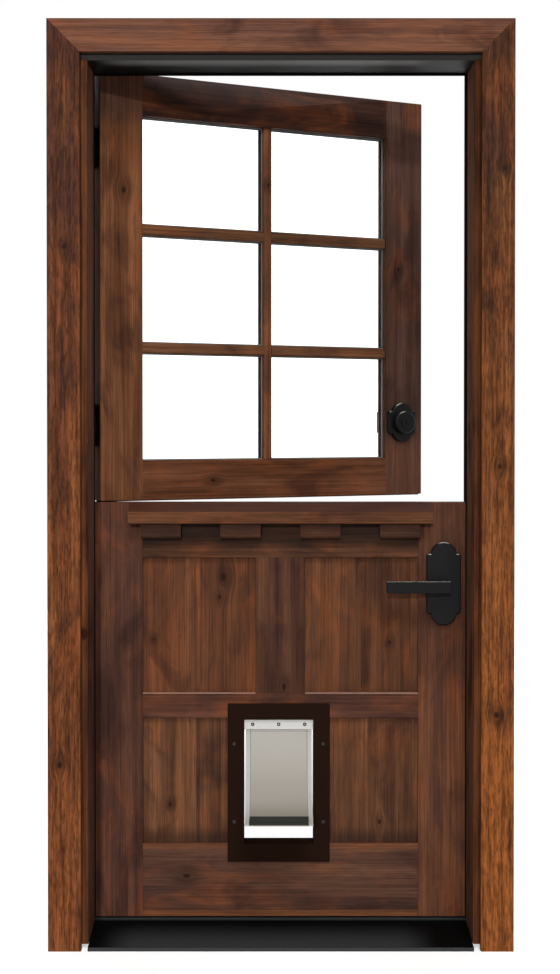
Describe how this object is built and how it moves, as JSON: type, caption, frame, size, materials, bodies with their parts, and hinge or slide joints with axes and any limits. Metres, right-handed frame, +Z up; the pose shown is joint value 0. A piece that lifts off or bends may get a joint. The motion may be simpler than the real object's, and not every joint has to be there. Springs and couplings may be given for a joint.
{
  "type": "dutch stable door",
  "caption": "Outside stable door with frame: glazed upper leaf, panelled lower leaf with shelf, locks and pet flap, casing and sill.",
  "frame": {"origin": "on the underside of the sill, midway across the frame, at the back face of the casing", "axes": "+X to the right seen from outside, +Y into the house, +Z up"},
  "size_m": [1.072, 0.633, 2.141],
  "materials": {
    "casing_timber": "stained, satin",
    "frame_timber": "stained, satin",
    "door_timber": "stained, satin",
    "panel_timber": "stained, satin",
    "sill_metal": "satin",
    "lock_metal": "matte",
    "bolt_steel": "brushed",
    "clear_glass": "clear",
    "spacer_metal": "satin",
    "seal_rubber": "matte",
    "pet_plastic": "matte",
    "clamp_metal": "satin",
    "flap_vinyl": "satin",
    "magnet_rubber": "matte"
  },
  "bodies": {
    "frame": {"casing_left": "casing_timber", "casing_right": "casing_timber", "casing_head": "casing_timber", "jamb_hinge_side": "frame_timber", "jamb_lock_side": "frame_timber", "jamb_head": "frame_timber", "sill_core": "frame_timber", "sill_cap": "frame_timber", "sill_deck": "sill_metal", "head_liner": "sill_metal", "strike_plate_latch": "bolt_steel", "strike_plate_deadbolt": "bolt_steel", "weatherstrip": "seal_rubber", "hinge_plates_frame": "lock_metal", "hinge_pins": "lock_metal"},
    "lower_leaf": {"lower_stile_hinge_side": "door_timber", "lower_stile_lock_side": "door_timber", "lower_rail_top": "door_timber", "lower_rail_middle": "door_timber", "lower_rail_bottom": "door_timber", "lower_mullion": "door_timber", "panel_left": "panel_timber", "panel_right": "panel_timber", "panel_bottom": "panel_timber", "dentil_shelf": "door_timber", "hinge_plates_lower": "lock_metal", "lever_plate_outside": "lock_metal", "lever_plate_inside": "lock_metal", "latch_case": "bolt_steel", "tie_bolt_keeper": "lock_metal", "pet_frame_outside": "pet_plastic", "pet_frame_inside": "pet_plastic", "flap_clamp": "clamp_metal", "door_sweep": "seal_rubber"},
    "upper_leaf": {"upper_stile_hinge_side": "door_timber", "upper_stile_lock_side": "door_timber", "upper_rail_bottom": "door_timber", "upper_rail_top": "door_timber", "glazing_bar_upright": "door_timber", "glazing_bar_lower": "door_timber", "glazing_bar_upper": "door_timber", "glazing_frame_inside": "door_timber", "glass_outside": "clear_glass", "glass_inside": "clear_glass", "glass_spacer": "spacer_metal", "hinge_plates_upper": "lock_metal", "deadbolt_rose": "lock_metal", "deadbolt_cylinder": "lock_metal", "deadbolt_plate_inside": "lock_metal", "deadbolt_case": "bolt_steel", "tie_bolt_body": "lock_metal", "meeting_seal": "seal_rubber"},
    "lever": {"lever_outside": "lock_metal", "lever_inside": "lock_metal"},
    "latch_bolt": {"latch_bolt": "bolt_steel"},
    "thumbturn": {"thumbturn": "lock_metal"},
    "deadbolt": {"deadbolt_bolt": "bolt_steel"},
    "tie_bolt": {"tie_bolt_rod": "lock_metal"},
    "pet_flap": {"pet_flap": "flap_vinyl", "flap_magnet": "magnet_rubber"}
  },
  "joints": [
    {"name": "upper_swing", "type": "hinge", "parent": "frame", "child": "upper_leaf", "pos_m": [-0.4565, 0.195, 1.545], "axis": [0, 0, 1], "range_deg": [-27.5, 72.5]},
    {"name": "lower_swing", "type": "hinge", "parent": "frame", "child": "lower_leaf", "pos_m": [-0.4565, 0.195, 0.53], "axis": [0, 0, 1], "range_deg": [0, 100]},
    {"name": "lever_turn", "type": "hinge", "parent": "lower_leaf", "child": "lever", "pos_m": [0.39, 0.1645, 0.829], "axis": [0, -1, 0], "range_deg": [0, 50], "stiffness_Nm_per_rad": 2, "springref_deg": -20.05},
    {"name": "latch_slide", "type": "slide", "parent": "lower_leaf", "child": "latch_bolt", "axis": [1, 0, 0], "range_m": [-0.012, 0]},
    {"name": "thumbturn_turn", "type": "hinge", "parent": "upper_leaf", "child": "thumbturn", "pos_m": [0.30844, 0.55882, 1.219], "axis": [-0.4617, 0.887, 0], "range_deg": [0, 90]},
    {"name": "deadbolt_slide", "type": "slide", "parent": "upper_leaf", "child": "deadbolt", "axis": [0.887, 0.4617, 0], "range_m": [0, 0.02]},
    {"name": "tie_bolt_slide", "type": "slide", "parent": "upper_leaf", "child": "tie_bolt", "axis": [0, 0, 1], "range_m": [-0.038, 0]},
    {"name": "flap_swing", "type": "hinge", "parent": "lower_leaf", "child": "pet_flap", "pos_m": [-0.004, 0.1455, 0.4797], "axis": [1, 0, 0], "range_deg": [-25, 85]}
  ],
  "couplings": [
    {"joint": "latch_slide", "follows": "lever_turn", "m_per_rad": -0.01375},
    {"joint": "deadbolt_slide", "follows": "thumbturn_turn", "m_per_rad": 0.01273}
  ]
}
